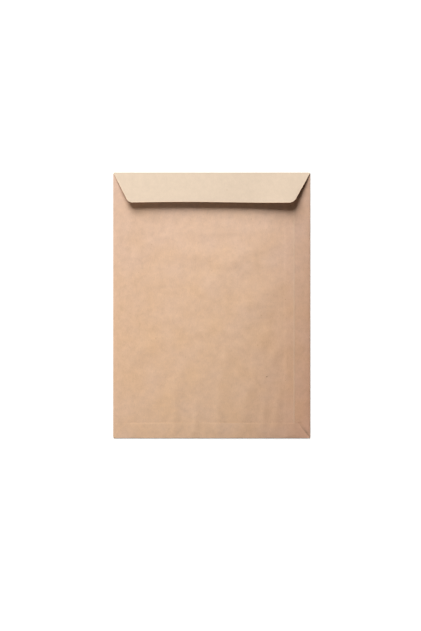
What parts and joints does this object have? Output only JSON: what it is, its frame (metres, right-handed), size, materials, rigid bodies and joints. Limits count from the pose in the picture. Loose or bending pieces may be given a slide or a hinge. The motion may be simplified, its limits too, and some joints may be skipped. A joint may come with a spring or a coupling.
{
  "type": "paper envelope",
  "caption": "Large flat brown kraft paper envelope with a folded closure flap at one short end, a glued side seam and a glued bottom flap.",
  "frame": {"origin": "centre of the envelope's outline, on its flat address side", "axes": "+X across the envelope towards the side seam, +Y along its height towards the closure flap, +Z out of the back"},
  "size_m": [0.23, 0.31, 0.0116],
  "materials": {
    "kraft_paper": "matt, lightly glazed on its outer face"
  },
  "bodies": {
    "root": {"envelope": "kraft_paper"}
  },
  "joints": []
}
